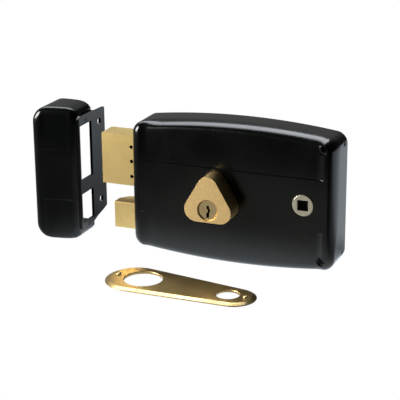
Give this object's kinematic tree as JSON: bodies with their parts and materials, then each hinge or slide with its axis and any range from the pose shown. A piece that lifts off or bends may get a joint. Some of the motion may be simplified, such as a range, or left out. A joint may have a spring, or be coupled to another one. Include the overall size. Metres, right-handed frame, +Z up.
{
  "type": "rim night latch",
  "caption": "Surface-mounted rim lock with keyed deadbolt, sprung latch turned by a spindle hub, outer cylinder, matching keep and loose brass escutcheon.",
  "frame": {"origin": "centre of the lock case's rear face, where it meets the door", "axes": "+X from the bolts to the spindle, +Y into the door, +Z up"},
  "size_m": [0.214, 0.1452, 0.095],
  "materials": {
    "black_enamel": "semi-gloss black stoved enamel",
    "satin_brass": "satin, fine machining lines",
    "polished_brass": "polished and lacquered",
    "pale_nickel": "turned, pale",
    "bright_steel": "bright cold-rolled",
    "zinc_plate": "zinc plated",
    "spring_wire": "oiled spring wire"
  },
  "bodies": {
    "root": {"back_plate": "zinc_plate", "bolt_guide_post": "bright_steel", "case_cover": "black_enamel", "cover_screw_lower": "bright_steel", "cover_screw_upper": "bright_steel", "cylinder_nut_left": "bright_steel", "cylinder_nut_right": "bright_steel", "cylinder_stud_left": "bright_steel", "cylinder_stud_right": "bright_steel", "driver_pin_1": "bright_steel", "driver_pin_2": "bright_steel", "driver_pin_3": "bright_steel", "driver_pin_4": "bright_steel", "driver_pin_5": "bright_steel", "escutcheon": "polished_brass", "escutcheon_stud_left": "polished_brass", "escutcheon_stud_right": "polished_brass", "fixing_sleeve_lower": "bright_steel", "fixing_sleeve_upper": "bright_steel", "forend_plate": "zinc_plate", "gear_post": "bright_steel", "hub_spring": "spring_wire", "hub_spring_post": "bright_steel", "inner_cylinder_body": "satin_brass", "latch_guide_left": "bright_steel", "latch_guide_right": "bright_steel", "latch_spring": "spring_wire", "outer_cylinder_body": "satin_brass", "outer_cylinder_screw_1": "bright_steel", "outer_cylinder_screw_2": "bright_steel", "pin_spring_1": "spring_wire", "pin_spring_2": "spring_wire", "pin_spring_3": "spring_wire", "pin_spring_4": "spring_wire", "pin_spring_5": "spring_wire", "spring_stop": "zinc_plate"},
    "inner_key_group": {"inner_plug": "satin_brass", "plug_clip": "spring_wire", "drive_gear": "satin_brass", "key_pin_1": "satin_brass", "key_pin_2": "satin_brass", "key_pin_3": "satin_brass", "key_pin_4": "satin_brass", "key_pin_5": "satin_brass"},
    "transfer_gear_group": {"transfer_gear": "bright_steel", "bolt_pinion": "bright_steel"},
    "deadbolt": {"deadbolt_head": "satin_brass", "deadbolt_tail": "bright_steel", "deadbolt_rivet_1": "bright_steel", "deadbolt_rivet_2": "bright_steel"},
    "spindle_follower": {"spindle_hub": "pale_nickel"},
    "latchbolt": {"latch_head": "satin_brass", "latch_tail": "bright_steel", "latch_rivet": "bright_steel"},
    "outer_key_group": {"outer_plug": "satin_brass"},
    "keep": {"keep_cover": "black_enamel", "keep_plate": "black_enamel", "keep_rivet_lower": "black_enamel", "keep_rivet_upper": "black_enamel"}
  },
  "joints": [
    {"name": "deadbolt_slide", "type": "slide", "parent": "root", "child": "deadbolt", "axis": [1, 0, 0], "range_m": [0, 0.02513]},
    {"name": "key_turn", "type": "hinge", "parent": "root", "child": "inner_key_group", "pos_m": [-0.01, -0.04, -0.0062], "axis": [0, -1, 0], "range_deg": [0, 720]},
    {"name": "gear_turn", "type": "hinge", "parent": "root", "child": "transfer_gear_group", "pos_m": [-0.01, -0.011, 0.0118], "axis": [0, -1, 0], "range_deg": [-360, 0]},
    {"name": "latch_slide", "type": "slide", "parent": "root", "child": "latchbolt", "axis": [1, 0, 0], "range_m": [0, 0.01599], "stiffness_N_per_m": 150, "springref_m": -0.03, "deforming": ["latch_spring"]},
    {"name": "handle_turn", "type": "hinge", "parent": "root", "child": "spindle_follower", "pos_m": [0.0495, -0.013, 0], "axis": [0, 1, 0], "range_deg": [0, 40]},
    {"name": "outer_key_turn", "type": "hinge", "parent": "root", "child": "outer_key_group", "pos_m": [-0.01, 0.04, -0.0062], "axis": [0, 1, 0], "range_deg": [0, 720]},
    {"name": "keep_slide", "type": "slide", "parent": "root", "child": "keep", "axis": [1, 0, 0], "range_m": [0, 0.037]}
  ],
  "couplings": [
    {"joint": "key_turn", "follows": "deadbolt_slide", "rad_per_m": 500},
    {"joint": "gear_turn", "follows": "deadbolt_slide", "rad_per_m": -250},
    {"joint": "handle_turn", "follows": "latch_slide", "rad_per_m": 43.633}
  ]
}
